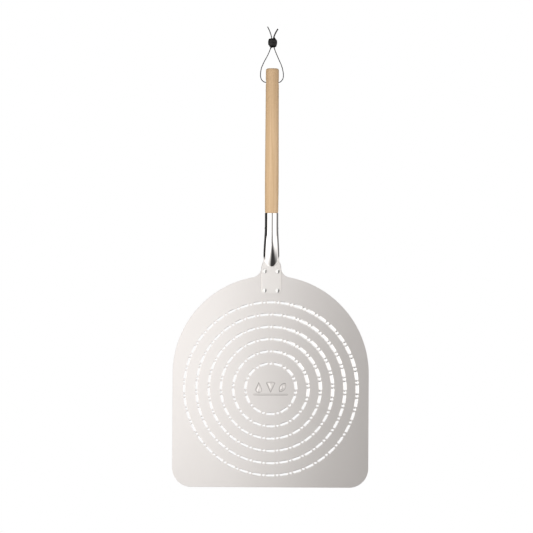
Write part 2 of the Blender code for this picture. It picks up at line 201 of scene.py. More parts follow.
# Its edges, in degrees. Across is 0 overhead and grows to the right, forward is 0 overhead and grows to
# the front, a bearing is 0 in front and grows to the right, elevation is 0 on the horizon.
OVERHEAD = (50, 58)                         # elevations between which the edges overhead take over
LEFT_EDGE, LEFT_BLUR = -34.0, 2.0           # of the gap overhead, across
RIGHT_EDGE, RIGHT_BLUR = 22.5, 3.0
LOW_LEFT_EDGE = (21, 52, -40.0, -1.0)       # two elevations, and the bearings of the gap's edge at them
LOW_RIGHT_EDGE = (0, 46, 65.0, 35.5)
LOW_LEFT_BLUR, LOW_RIGHT_BLUR = 23.0, 9.0
LEFT_FOOT = (0, 25, -74.0, -102.0)          # two forward angles, and where the wall ends across at them
RIGHT_FOOT = (0, 25, 95.0, 120.0)
LEFT_FOOT_BLUR, RIGHT_FOOT_BLUR = 6.0, 11.0
GAP_FRONT = 48                              # forward angle where the gap is darkest
BACK = (-45, -15)                           # forward angles between which the back brightens

# Studio planes
SOFTBOX_HEIGHT = 0.8
SOFTBOXES = (                               # name, front left corner and back right corner, in metres
    ("softbox_left", (-0.85, -0.35), (0.02, 0.85)),
    ("softbox_behind", (0.02, 0.40), (0.6, 0.85)),
)
FLOOR_REACH = 6.0
FLOOR_Z = -60.0 * MM                        # leaves room for the loop to hang below the handle


# Camera

def make_camera():
    """Straight above the blade, as far off as a long lens needs, and turned a third of a degree."""
    data = bpy.data.cameras.new("camera")
    data.lens = LENS
    data.sensor_width = SENSOR_WIDTH
    data.clip_start = 0.1
    data.clip_end = 100
    height = FRAME_WIDTH * data.lens / data.sensor_width
    camera = bpy.data.objects.new("camera", data)
    camera.location = (CAMERA_X, CAMERA_Y, BLADE_THICK + height)
    camera.rotation_euler = (0, 0, radians(CAMERA_TURN))
    bpy.context.scene.collection.objects.link(camera)
    bpy.context.scene.camera = camera


# Geometry helpers

def arc(centre_x, centre_y, radius, start_degrees, end_degrees, steps):
    points = []
    for i in range(steps + 1):
        angle = radians(start_degrees + (end_degrees - start_degrees) * i / steps)
        points.append((centre_x + radius * cos(angle), centre_y + radius * sin(angle)))
    return points


def circle(centre_x, centre_y, radius, sides):
    return arc(centre_x, centre_y, radius, 0, 360, sides)[:-1]


def smooth(value, start, end):
    """A soft step, 0 at the start and before it, 1 at the end and past it. It may run either way."""
    t = min(1.0, max(0.0, (value - start) / (end - start)))
    return t * t * (3 - 2 * t)


def between(start, end, share):
    return start + (end - start) * share


def middle_of(outline):
    middle_x = sum(x for x, _ in outline) / len(outline)
    middle_y = sum(y for _, y in outline) / len(outline)
    return middle_x, middle_y


def grown(loop, distance):
    """A loop of points moved outwards along its corners' normals, for an anticlockwise loop."""
    moved = []
    for i, (x, y) in enumerate(loop):
        before = Vector(loop[i - 1])
        after = Vector(loop[(i + 1) % len(loop)])
        along = (after - before).normalized()
        moved.append((x + along.y * distance, y - along.x * distance))
    return moved


def curve_through(points, steps):
    """Points of a Catmull-Rom curve through a list of vectors."""
    padded = [2 * points[0] - points[1]] + points + [2 * points[-1] - points[-2]]
    curve = []
    for before, start, end, after in zip(padded, padded[1:], padded[2:], padded[3:]):
        for step in range(steps):
            t = step / steps
            bend = 2 * before - 5 * start + 4 * end - after
            twist = 3 * start - 3 * end + after - before
            curve.append((2 * start + (end - before) * t + bend * t ** 2 + twist * t ** 3) / 2)
    return curve + [points[-1]]


def add_object(name, data, body, nodes):
    """Link a piece, let it ride on its body and stand for its CAD nodes."""
    made = bpy.data.objects.new(name, data)
    bpy.context.scene.collection.objects.link(made)
    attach(made, body)
    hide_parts(*nodes)
    return made


def mesh_from(name, bm, sharp_degrees=30):
    bmesh.ops.recalc_face_normals(bm, faces=bm.faces)
    mesh = bpy.data.meshes.new(name)
    bm.to_mesh(mesh)
    bm.free()
    mesh.shade_smooth()
    mesh.set_sharp_from_angle(angle=radians(sharp_degrees))
    return mesh


def wall(bm, low, high):
    """Quads between two equal loops of corners."""
    faces = []
    for i in range(len(low)):
        j = (i + 1) % len(low)
        faces.append(bm.faces.new((low[i], low[j], high[j], high[i])))
    return faces


def skin(bm, loops):
    """Walls between equal loops of corners, and a cap on the first and on the last."""
    for near, far in zip(loops, loops[1:]):
        wall(bm, near, far)
    bm.faces.new(loops[0])
    bm.faces.new(loops[-1])


def lofted(name, rings, sharp_degrees=30):
    bm = bmesh.new()
    skin(bm, [[bm.verts.new(point) for point in ring] for ring in rings])
    return mesh_from(name, bm, sharp_degrees)


def turned(name, profile, place, segments=64):
    """Spin (height, radius) points about local Z, closed on the axis, and set the result in place."""
    bm = bmesh.new()
    corners = [bm.verts.new((radius, 0.0, height)) for height, radius in profile]
    edges = [bm.edges.new(pair) for pair in zip(corners, corners[1:])]
    bmesh.ops.spin(
        bm, geom=corners + edges, axis=(0, 0, 1), cent=(0, 0, 0), angle=2 * pi, steps=segments,
    )
    bmesh.ops.remove_doubles(bm, verts=bm.verts, dist=0.001 * MM)
    bmesh.ops.transform(bm, matrix=place, verts=bm.verts)
    return mesh_from(name, bm)


def along_y(x, z):
    return Matrix.Translation((x, 0, z)) @ Matrix.Rotation(-pi / 2, 4, "X")


def along_x(y, z):
    return Matrix.Translation((0, y, z)) @ Matrix.Rotation(pi / 2, 4, "Y")


# Thong: the route's points are those of the CAD

RIGHT_ROUTE = (
    (0.2, 554.8, 15.05), (6.0, 554.8, 15.05), (12.0, 554.9, 14.95), (16.0, 557.0, 14.5),
    (19.2, 562.0, 13.2), (20.0, 569.0, 10.8), (18.8, 577.5, 7.6), (16.0, 587.0, 4.6),
    (12.2, 595.5, 3.0), (8.2, 604.5, 2.5), (5.2, 611.8, 3.0), (3.2, 617.3, 4.2),
)
LEFT_ROUTE = (
    (-0.2, 554.8, 15.05), (-6.0, 554.8, 15.05), (-12.4, 554.8, 14.95), (-17.0, 556.9, 14.5),
    (-20.4, 561.5, 13.2), (-21.5, 569.0, 10.8), (-20.2, 579.5, 7.4), (-16.8, 588.8, 4.5),
    (-12.6, 597.2, 2.9), (-8.6, 604.6, 2.5), (-5.6, 611.4, 3.0), (-3.4, 617.3, 4.2),
)
RIGHT_TAIL = ((2.2, 636.9, 4.0), (3.6, 641.0, 3.0), (6.2, 646.6, 2.5), (9.6, 652.4, 2.4))
LEFT_TAIL = ((-1.8, 636.9, 4.0), (-3.2, 642.5, 2.9), (-5.8, 649.5, 2.5), (-9.2, 656.3, 2.4))


def make_strip(name, route, node, look, lean_degrees=0.0):
    """A flat leather strip on edge along its route, or leaning over a little."""
    curve = bpy.data.curves.new(name, "CURVE")
    curve.dimensions = "3D"
    curve.twist_mode = "Z_UP"
    curve.bevel_depth = THONG_THICK / 2
    curve.bevel_resolution = 6
    curve.extrude = (THONG_WIDTH - THONG_THICK) / 2
    curve.use_fill_caps = True
    points = curve_through([Vector(point) * MM for point in route], 7)
    spline = curve.splines.new("POLY")
    spline.points.add(len(points) - 1)
    for spot, point in zip(spline.points, points):
        spot.co = (*point, 1.0)
        spot.tilt = radians(lean_degrees)
    spline.use_smooth = True
    curve.materials.append(look)
    return add_object(name, curve, LOOP, [node])


def strip_section(width, thick):
    """Outline of a strip across its length: thickness first, then width."""
    flat = (width - thick) / 2
    return arc(0, flat, thick / 2, 0, 180, 8) + arc(0, -flat, thick / 2, 180, 360, 8)


def knot_core_spot(u, side):
    """The strands' way through the knot, u from 0 where they come from the loop to 1 at the tails."""
    from_middle = CORE_APART + CORE_SPREAD * (1 - u) ** 2
    along = CORE_HALF_LENGTH * (2 * u - 1)
    drop = -CORE_DROP * (2 * u - 1) ** 4
    return KNOT_CENTRE + Vector((side * from_middle + CORE_SHIFT, along, drop))


def knot_wrap_spot(u):
    """The turns round the middle: a flattened helix whose two ends sink in beside the strands."""
    bearing = radians(between(WRAP_START, WRAP_END, u))
    along = WRAP_REACH * (1 - 2 * u)
    clear_of_ends = smooth(u, 0, WRAP_TUCK) * smooth(u, 1, 1 - WRAP_TUCK)
    size = between(WRAP_SUNK, 1, clear_of_ends) * between(WRAP_LOOSE, WRAP_TIGHT, u)
    size *= sqrt(1 - (along / KNOT_HALF_LENGTH) ** 2)
    size *= 1 + RIPPLE * cos(RIPPLES * bearing + RIPPLE_PHASE)
    out_x = KNOT_HALF_WIDTH * size * sin(bearing)
    out_z = KNOT_HALF_HEIGHT * size * cos(bearing)
    return KNOT_CENTRE + Vector((out_x, along, out_z))


def swept_strip(bm, section, spot, outward, steps):
    """A strip along spot(u), its flat side facing the way that outward(point) points."""
    rings = []
    nudge = 0.01
    for i in range(steps + 1):
        u = i / steps
        tangent = (spot(min(1.0, u + nudge)) - spot(max(0.0, u - nudge))).normalized()
        out = outward(spot(u))
        out = (out - out.dot(tangent) * tangent).normalized()
        across = tangent.cross(out)
        rings.append([spot(u) + out * thick + across * wide for thick, wide in section])
    skin(bm, [[bm.verts.new(point) for point in ring] for ring in rings])


def out_of_knot(point):
    """The normal of the egg that the turns lie on."""
    away = point - KNOT_CENTRE
    away.x /= KNOT_HALF_WIDTH ** 2
    away.y /= KNOT_HALF_LENGTH ** 2
    away.z /= KNOT_HALF_HEIGHT ** 2
    return away


def sideways(point):
    return Vector((1.0, 0.0, 0.0))


def make_knot(look):
    bm = bmesh.new()
    strand = strip_section(THONG_WIDTH, THONG_THICK)
    for side in (-1, 1):
        swept_strip(bm, strand, lambda u: knot_core_spot(u, side), sideways, 24)
    swept_strip(bm, strip_section(WRAP_WIDTH, WRAP_THICK), knot_wrap_spot, out_of_knot, 200)
    mesh = mesh_from("thong_knot_strips", bm, 50)
    mesh.materials.append(look)
    return add_object("thong_knot_strips", mesh, LOOP, ["thong_knot"])


def make_thong(look):
    left = make_strip("thong_strand_left", LEFT_ROUTE, "thong_left", look)
    right = make_strip("thong_strand_right", RIGHT_ROUTE, "thong_right", look)
    tail_left = make_strip("thong_end_left", LEFT_TAIL, "thong_tail_left", look, 4)
    tail_right = make_strip("thong_end_right", RIGHT_TAIL, "thong_tail_right", look, 20)
    knot = make_knot(look)


# Blade

def blade_outline():
    """The outline, anticlockwise from the front edge's right end."""
    reach = BLADE_HALF_WIDTH + NECK_FILLET_R
    fillet_x = TONGUE_HALF_WIDTH + NECK_FILLET_R
    fillet_y = SHOULDER_Y + sqrt(reach ** 2 - fillet_x ** 2)
    meeting = 90 - degrees(asin(fillet_x / reach))

    corner_x = BLADE_HALF_WIDTH - BLADE_CORNER_R
    corner_y = BLADE_FRONT_Y + BLADE_CORNER_R
    right = arc(corner_x, corner_y, BLADE_CORNER_R, -90, 0, 20)
    right += arc(0, SHOULDER_Y, BLADE_HALF_WIDTH, 0, meeting, 64)
    right += arc(fillet_x, fillet_y, NECK_FILLET_R, meeting + 180, 180, 18)[1:]
    right += arc(0, fillet_y, TONGUE_HALF_WIDTH, 0, 88, 20)[1:]
    left = [(-x, y) for x, y in reversed(right)]
    return right + left


def slot_outline(radius, bearing):
    """An oblong with round corners along its ring. The bearing turns clockwise from +Y."""
    reach_x = SLOT_LENGTH / 2 - SLOT_CORNER_R
    reach_y = SLOT_WIDTH / 2 - SLOT_CORNER_R
    points = []
    for quarter, (sign_x, sign_y) in enumerate(((1, 1), (-1, 1), (-1, -1), (1, -1))):
        start = 90 * quarter
        points += arc(sign_x * reach_x, sign_y * reach_y, SLOT_CORNER_R, start, start + 90, 3)
    placed = []
    for x, y in points:
        placed_x = x * cos(bearing) + (y + radius) * sin(bearing)
        placed_y = (y + radius) * cos(bearing) - x * sin(bearing)
        placed.append((placed_x, placed_y))
    return placed


def ring_holes():
    holes = []
    for ring, slots in enumerate(RING_SLOTS):
        radius = FIRST_RING_R + ring * RING_PITCH
        pitch = 2 * pi / slots
        first_slot = 0.0 if slots % 2 == 0 else pitch / 2
        for i in range(slots):
            slot_bearing = first_slot + i * pitch
            dot_bearing = slot_bearing + pitch / 2
            holes.append(slot_outline(radius, slot_bearing))
            holes.append(circle(radius * sin(dot_bearing), radius * cos(dot_bearing), DOT_R, 14))
    return holes


def rivet_places():
    """Name and centre of each rivet, from the CAD nodes."""
    places = {}
    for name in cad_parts:
        if name.startswith("rivet_"):
            low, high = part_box(name)
            places[name] = (low + high) / 2
    return places


def drop_outline():
    bulb_y = DROP_R - MARK_HALF_HEIGHT
    lean = degrees(asin(DROP_R / (MARK_HALF_HEIGHT - bulb_y)))
    bulb = arc(-MARK_PITCH, bulb_y, DROP_R, 180 - lean, 360 + lean, 22)
    return bulb + [(-MARK_PITCH, MARK_HALF_HEIGHT)]


def slice_outline():
    low = -MARK_HALF_HEIGHT
    crust = arc(0, low, 2 * MARK_HALF_HEIGHT, 90 - SLICE_HALF_ANGLE, 90 + SLICE_HALF_ANGLE, 12)
    return [(0, low)] + crust


def leaf_outline():
    """Two equal arcs that meet in a point at both ends, tilted."""
    centre_x = LEAF_R * cos(radians(LEAF_HALF_ANGLE))
    upright = arc(-centre_x, 0, LEAF_R, -LEAF_HALF_ANGLE, LEAF_HALF_ANGLE, 12)[:-1]
    upright += arc(centre_x, 0, LEAF_R, 180 - LEAF_HALF_ANGLE, 180 + LEAF_HALF_ANGLE, 12)[:-1]
    tilt = radians(LEAF_TILT)
    tilted = []
    for x, y in upright:
        tilted_x = x * cos(tilt) - y * sin(tilt)
        tilted_y = x * sin(tilt) + y * cos(tilt)
        tilted.append((MARK_PITCH + tilted_x, tilted_y))
    return tilted


def mark_shapes():
    """Outlines of the engraved shapes, from left to right."""
    shapes = (drop_outline(), slice_outline(), leaf_outline())
    return [[(x, y + MARK_RAISE) for x, y in shape] for shape in shapes]


def mark_line():
    """Outline of the engraved line, with round ends."""
    reach = LINE_HALF_LENGTH - LINE_HALF_WIDTH
    right = arc(reach, LINE_Y, LINE_HALF_WIDTH, -90, 90, 10)
    return right + arc(-reach, LINE_Y, LINE_HALF_WIDTH, 90, 270, 10)


def scaled(outline, factor):
    """The outline made smaller or larger about its middle."""
    middle_x, middle_y = middle_of(outline)
    return [(between(middle_x, x, factor), between(middle_y, y, factor)) for x, y in outline]


def raised(bm, outline, z):
    return [bm.verts.new((x, y, z)) for x, y in outline]


def fill(bm, outer, holes):
    """Triangles between an outer loop of corners and the loops inside it, which are convex."""
    points = []
    edges = []
    corners = []
    loop_of = []
    for number, loop in enumerate([outer] + holes):
        first = len(points)
        corners += loop
        loop_of += [number] * len(loop)
        points += [Vector(corner.co[:2]) for corner in loop]
        edges += [(first + i, first + (i + 1) % len(loop)) for i in range(len(loop))]
    inside_outline = 1
    filled = delaunay_2d_cdt(points, edges, [], inside_outline, 0.0001 * MM)
    sources = [ids[0] for ids in filled[3]]
    for triangle in filled[2]:
        ids = [sources[corner] for corner in triangle]
        touched = {loop_of[i] for i in ids}
        in_hole = len(touched) == 1 and 0 not in touched
        if not in_hole:
            bm.faces.new([corners[i] for i in ids])


def hole_edge(outline):
    """The rounding of a hole's top edge, as (distance out, depth). Its width depends on the place."""
    middle_x, middle_y = middle_of(outline)
    bearing = degrees(atan2(middle_x, middle_y))
    sets_in, full, fades, ends = SOFT_BEARINGS
    softness = smooth(bearing, sets_in, full) * smooth(bearing, ends, fades)
    softness *= smooth(hypot(middle_x, middle_y), *SOFT_RADII)
    rounding = []
    for crisp, soft in zip(PUNCHED_EDGE, SOFT_EDGE):
        outwards = between(crisp[0], soft[0], softness)
        depth = between(crisp[1], soft[1], softness)
        rounding.append((outwards, depth))
    return rounding


def pierce(bm, outline, low_outline=None):
    """The wall of a punched hole with rounded edges. Returns its loops on the underside and the top."""
    low_outline = low_outline or outline
    bottom = raised(bm, grown(low_outline, EDGE_BREAK), 0.0)
    loops = [raised(bm, low_outline, EDGE_BREAK)]
    wall(bm, bottom, loops[0])
    for outwards, depth in hole_edge(outline):
        loops.append(raised(bm, grown(outline, outwards), BLADE_THICK - depth))
    for low, high in zip(loops, loops[1:]):
        for face in wall(bm, low, high):
            face.material_index = BURNISHED
    return bottom, loops[-1]


def engrave(bm, loops):
    """Walls down through (outline, depth) loops, closed with a level floor. Returns the first loop.

    The outermost wall gets painted shade: a darker material that stands in for the shade along the
    engraving's edge."""
    corners = [raised(bm, outline, BLADE_THICK - depth) for outline, depth in loops]
    for outer, inner in zip(corners, corners[1:]):
        faces = wall(bm, inner, outer)
        # the outermost wall gets the painted shade, a darker metal standing in for the shade along the
        # engraving's edge
        if outer is corners[0]:
            for face in faces:
                face.material_index = PAINTED_SHADE
    bm.faces.new(corners[-1])
    return corners[0]


def make_blade(*looks):
    """The looks are the sheet's own, then that of the engraving's outer walls, a darker metal painted as
    shade along its edge, and that of the BURNISHED faces.
    """
    bm = bmesh.new()
    outline = blade_outline()
    inner = grown(outline, -EDGE_BREAK)
    edge = [
        raised(bm, inner, 0.0),
        raised(bm, outline, EDGE_BREAK),
        raised(bm, outline, BLADE_THICK - EDGE_BREAK),
        raised(bm, inner, BLADE_THICK),
    ]
    for low, high in zip(edge, edge[1:]):
        wall(bm, low, high)

    holes = [pierce(bm, hole) for hole in ring_holes()]
    for place in rivet_places().values():
        narrow = circle(place.x, place.y, RIVET_SHANK_R + RIVET_PLAY, 24)
        wide = circle(place.x, place.y, RIVET_TAIL_R + RIVET_PLAY, 24)
        holes.append(pierce(bm, narrow, wide))
    engraved = []
    for shape in mark_shapes():
        engraved.append(engrave(bm, [(scaled(shape, size), depth) for size, depth in MARK_TRENCH]))
    line = mark_line()
    engraved.append(engrave(bm, [(line, 0.0), (grown(line, -MARK_DEPTH), MARK_DEPTH)]))

    fill(bm, edge[0], [low for low, high in holes])
    fill(bm, edge[-1], [high for low, high in holes] + engraved)
    mesh = mesh_from("blade_sheet", bm, 30)
    for face in mesh.polygons:
        face.use_smooth = abs(face.normal.z) < LEVEL
    for look in looks:
        mesh.materials.append(look)
    add_object("blade_sheet", mesh, PEEL, ["blade"])


# Socket

def socket_spread(y):
    """How far the tube's section at y has gone from round, 0, to the arch on the plate, 1."""
    return smooth(y, SPREAD_START_Y, FLANK_END_Y)


def socket_half_width(y):
    flared = smooth(y, FLARE_START_Y, FLARE_END_Y)
    width = between(TUBE_R, ARCH_R, socket_spread(y)) + (PLATE_HALF_WIDTH - ARCH_R) * flared
    into_corner = PLATE_END_Y + PLATE_CORNER_R - y
    if into_corner > 0:
        width -= PLATE_CORNER_R - sqrt(max(0.0, PLATE_CORNER_R ** 2 - into_corner ** 2))
    return width


def socket_top(y):
    """Height of the arch's crest. It eases into its slope, and sinks into the plate past the tip."""
    if y >= PRESS_START_Y:
        return TUBE_TOP_Z
    to_start = (PRESS_START_Y - y) / (PRESS_START_Y - PRESS_TIP_Y)
    return TUBE_TOP_Z - (TUBE_TOP_Z - PLATE_TOP_Z) * to_start ** PRESS_CURVE


def socket_base(y):
    """Height of the underside: the tube's is a little above the plate's."""
    tube_z = AXIS_Z - TUBE_R
    return between(tube_z, PLATE_Z, socket_spread(y))


def edge_bulge(x, half_width, radius):
    """Half the height, at x, of a bar with round edges of this radius."""
    past = max(0.0, abs(x) - (half_width - radius)) / radius
    return radius * sqrt(max(0.0, 1 - past ** 2))


def softer_max(a, b):
    """The larger of two heights, with the crease where they are equal filled in."""
    return (a + b + sqrt((a - b) ** 2 + CREASE ** 2)) / 2


def socket_section(y, inset=0.0):
    """Closed cross-section at y: an arch that grows out of a double plate with round edges."""
    half_width = socket_half_width(y) - inset
    arch_r = min(socket_half_width(y), ARCH_R) - inset
    arch_centre = socket_top(y) - inset - arch_r
    base = socket_base(y) + inset
    edge_r = max(SHEET - inset / 2, arch_centre - base)
    in_plate = smooth(y, PRESS_START_Y, FLANK_END_Y)

    top = []
    bottom = []
    for i in range(SECTION_POINTS + 1):
        x = half_width * cos(pi * i / SECTION_POINTS)
        bulge = edge_bulge(x, half_width, edge_r)
        arch = arch_centre + sqrt(max(0.0, arch_r ** 2 - x ** 2))
        plate = base + edge_r + bulge
        crisp = max(plate, arch)
        off_edge = 1 - (abs(x) / half_width) ** CREASE_REACH
        soft = between(crisp, softer_max(plate, arch), in_plate * off_edge)
        top.append((x, y, soft))
        bottom.append((x, y, base + edge_r - bulge))
    return top + bottom[-2:0:-1]


def spaced(start, end, steps):
    """Even steps from the start, which is left out, to the end."""
    return [between(start, end, i / steps) for i in range(1, steps + 1)]


def socket_rings():
    """From the end of the plate to the mouth, round its rim, and back inside to the spigot's end."""
    start_y = PLATE_END_Y + SHEET_ROUNDING
    corner_length = PLATE_CORNER_R - SHEET_ROUNDING
    stations = [start_y + corner_length * (1 - cos(radians(angle))) for angle in range(0, 91, 9)]
    stations += spaced(stations[-1], FLARE_END_Y, 10)
    stations += spaced(FLARE_END_Y, FLANK_END_Y, 40)
    stations += spaced(FLANK_END_Y, PRESS_START_Y, 40)
    stations += spaced(PRESS_START_Y, SPREAD_START_Y, 10)
    stations += spaced(SPREAD_START_Y, MOUTH_Y - SHEET_ROUNDING, 4)
    end_face = socket_section(start_y, SHEET_ROUNDING)
    rings = [[(x * END_FACE_WIDTH, PLATE_END_Y, z) for x, _, z in end_face]]
    rings += [socket_section(y) for y in stations]
    for inset in (SHEET_ROUNDING, SHEET - SHEET_ROUNDING):
        rings.append([(x, MOUTH_Y, z) for x, _, z in socket_section(MOUTH_Y, inset)])
    rings.append(socket_section(MOUTH_Y - SHEET_ROUNDING, SHEET))
    rings.append(socket_section(PRESS_START_Y, SHEET))
    return rings


def make_socket(look):
    mesh = lofted("socket_shell", socket_rings(), 40)
    mesh.materials.append(look)
    add_object("socket_shell", mesh, PEEL, ["socket"])


def rivet_profile(head_z, rim_z):
    """Heights and radii of a tail, a shank and a head that is a low dome with a rounded rim."""
    rise = RIVET_DOME_RISE
    dome_r = (RIVET_HEAD_R ** 2 + rise ** 2) / (2 * rise)
    edge_angle = degrees(asin((RIVET_HEAD_R - RIVET_ROUNDING) / dome_r))
    tail = [(RIVET_RECESS, 0), (RIVET_RECESS, RIVET_TAIL_R), (BLADE_THICK, RIVET_SHANK_R)]
    seat = [(head_z, RIVET_SHANK_R), (head_z, RIVET_HEAD_R)]
    rim = arc(rim_z - RIVET_ROUNDING, RIVET_HEAD_R - RIVET_ROUNDING, RIVET_ROUNDING, 90, 30, 4)
    dome = arc(rim_z + rise - dome_r, 0, dome_r, edge_angle, 0, 16)
    return tail + seat + rim + dome


def make_rivets(look):
    """Each has a low dome, a shank and a tail set flush in the underside. The heads sit a little askew."""
    head_z = PLATE_TOP_Z + RIVET_GAP
    rim_z = head_z + RIVET_HEAD_HEIGHT - RIVET_DOME_RISE
    profile = rivet_profile(head_z, rim_z)
    slope = tan(radians(RIVET_TILT))
    for name, place in rivet_places().items():
        mesh = turned(name + "_dome", profile, Matrix.Translation((place.x, place.y, 0)), 48)
        for corner in mesh.vertices:
            up_the_head = smooth(corner.co.z, head_z, rim_z - RIVET_ROUNDING)
            corner.co.z += (corner.co.x - place.x) * slope * up_the_head
        mesh.materials.append(look)
        add_object(name + "_dome", mesh, PEEL, [name])


def make_pin(look):
    """The cross pin, with a low dome on each end that covers its hole in the tube."""
    low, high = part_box("socket_pin")
    centre = (low + high) / 2
    seat = sqrt(TUBE_R ** 2 - PIN_HEAD_R ** 2) - PIN_SINK
    right_end = [(seat, PIN_HEAD_R)]
    for angle in range(10, 91, 10):
        height = seat + (high.x - seat) * sin(radians(angle))
        right_end.append((height, PIN_HEAD_R * cos(radians(angle))))
    left_end = [(-height, radius) for height, radius in reversed(right_end)]
    pin_r = (high.z - low.z) / 2
    profile = left_end + [(-seat, pin_r), (seat, pin_r)] + right_end
    mesh = turned("socket_pin_heads", profile, along_x(centre.y, centre.z), 32)
    mesh.materials.append(look)
    add_object("socket_pin_heads", mesh, PEEL, ["socket_pin"])


# Handle

def handle_profile():
    """Places along the handle and its radius there: the spigot, the grip and the round end."""
    low = handle_low.y
    profile = [(low, 0), (low, SPIGOT_R - SPIGOT_CHAMFER), (low + SPIGOT_CHAMFER, SPIGOT_R)]
    start_y, start_r = HANDLE_SHAPE[0]
    profile += [(start_y, SPIGOT_R), (start_y, start_r - SHOULDER_BREAK)]
    body = curve_through([Vector(point) for point in HANDLE_SHAPE], 12)
    profile += [(point.x, point.y) for point in body if point.x > start_y + SHOULDER_BREAK]
    end_y = HANDLE_END_Y - HANDLE_END_R
    end_r = HANDLE_SHAPE[-1][1] - HANDLE_END_R
    profile += arc(end_y, end_r, HANDLE_END_R, 90, 0, 12)[1:]
    profile += [(HANDLE_END_Y, 0)]
    return profile


def cord_hole_cutter():
    """The shape of the cord hole, with mouths that open like a trumpet."""
    surface = HANDLE_SHAPE[-1][1]
    mouth = []
    for angle in range(0, 91, 10):
        x = surface - HOLE_SINK - HOLE_ROUNDING * (1 - sin(radians(angle)))
        mouth.append((x, HOLE_R + HOLE_ROUNDING * (1 - cos(radians(angle)))))
    past = surface + CUTTER_REACH
    mouth += [(past, mouth[-1][1] + CUTTER_FLARE), (past, 0)]
    profile = [(-x, radius) for x, radius in reversed(mouth)] + mouth
    mesh = turned("cord_hole", profile, along_x(HOLE_Y, AXIS_Z), 48)
    cutter = bpy.data.objects.new("cord_hole", mesh)
    bpy.context.scene.collection.objects.link(cutter)
    return cutter


def make_handle(look):
    mesh = turned("handle_turned", handle_profile(), along_y(0, AXIS_Z), 96)
    mesh.materials.append(look)
    handle = add_object("handle_turned", mesh, PEEL, ["handle"])
    cutter = cord_hole_cutter()
    modifier = handle.modifiers.new("cord_hole", "BOOLEAN")
    modifier.operation = "DIFFERENCE"
    modifier.solver = "EXACT"
    modifier.object = cutter
    graph = bpy.context.evaluated_depsgraph_get()
    pierced = bpy.data.meshes.new_from_object(handle.evaluated_get(graph))
    handle.modifiers.clear()
    handle.data = pierced
    bpy.data.objects.remove(cutter)


# Materials

NOISE_RANGE = (0.3, 0.7)                    # most of a noise texture's values lie between these


class Nodes:
    """Short ways to add texture and maths nodes to a node tree."""

    def __init__(self, tree):
        self.tree = tree

    def node(self, kind, **settings):
        made = self.tree.nodes.new(kind)
        for key, value in settings.items():
            setattr(made, key, value)
        return made

    def feed(self, socket, value):
        if isinstance(value, bpy.types.NodeSocket):
            self.tree.links.new(value, socket)
        else:
            socket.default_value = value

    def math(self, operation, a, b=0.0):
        made = self.node("ShaderNodeMath", operation=operation)
        self.feed(made.inputs[0], a)
        self.feed(made.inputs[1], b)
        return made.outputs[0]

    def spread(self, value, low, high, to_low, to_high, shape="SMOOTHSTEP"):
        """The value's range from low to high mapped to another range, and held at its ends."""
        made = self.node("ShaderNodeMapRange", interpolation_type=shape)
        self.feed(made.inputs["Value"], value)
        self.feed(made.inputs["From Min"], low)
        self.feed(made.inputs["From Max"], high)
        self.feed(made.inputs["To Min"], to_low)
        self.feed(made.inputs["To Max"], to_high)
        return made.outputs["Result"]

    def blend(self, factor, a, b):
        """Plain numbers from a at factor 0 to b at factor 1."""
        made = self.node("ShaderNodeMix", data_type="FLOAT")
        self.feed(made.inputs["Factor"], factor)
        self.feed(made.inputs["A"], a)
        self.feed(made.inputs["B"], b)
        return made.outputs["Result"]

    def axes(self, vector):
        made = self.node("ShaderNodeSeparateXYZ")
        self.feed(made.inputs[0], vector)
        return made.outputs


class Look(Nodes):
    """A Principled material with textures placed by the object's own coordinates."""

    def __init__(self, name, **values):
        self.material = bpy.data.materials.new(name)
        self.material.use_nodes = True
        super().__init__(self.material.node_tree)
        self.principled = self.tree.nodes["Principled BSDF"]
        for socket, value in values.items():
            self.principled.inputs[socket.replace("_", " ")].default_value = value
        self.place = self.node("ShaderNodeTexCoord").outputs["Object"]

    def stretched(self, scale):
        mapping = self.node("ShaderNodeMapping")
        self.feed(mapping.inputs["Vector"], self.place)
        mapping.inputs["Scale"].default_value = scale
        return mapping.outputs["Vector"]

    def noise(self, scale, detail=3.0, roughness=0.5, distortion=0.0):
        made = self.node("ShaderNodeTexNoise")
        self.feed(made.inputs["Vector"], self.stretched(scale))
        made.inputs["Scale"].default_value = 1.0
        made.inputs["Detail"].default_value = detail
        made.inputs["Roughness"].default_value = roughness
        made.inputs["Distortion"].default_value = distortion
        return made.outputs["Fac"]

    def cells(self, scale):
        made = self.node("ShaderNodeTexVoronoi", feature="F1")
        self.feed(made.inputs["Vector"], self.stretched(scale))
        made.inputs["Scale"].default_value = 1.0
        return made.outputs["Distance"]

    def mix(self, factor, a, b):
        made = self.node("ShaderNodeMix", data_type="RGBA")
        self.feed(made.inputs["Factor"], factor)
        self.feed(made.inputs[6], a)
        self.feed(made.inputs[7], b)
        return made.outputs[2]

    def bump(self, height, strength, distance):
        made = self.node("ShaderNodeBump")
        self.feed(made.inputs["Height"], height)
        made.inputs["Strength"].default_value = strength
        made.inputs["Distance"].default_value = distance
        return made.outputs["Normal"]

    def output(self, socket, value):
        self.feed(self.principled.inputs[socket], value)

    def ranged(self, noise, low, high):
        """A noise's usual range mapped to another one."""
        return self.spread(noise, *NOISE_RANGE, low, high)

    def tint(self, noise, dark, light):
        """Let the colour go from dark to light with the noise."""
        self.output("Base Color", self.mix(self.ranged(noise, 0.0, 1.0), dark, light))


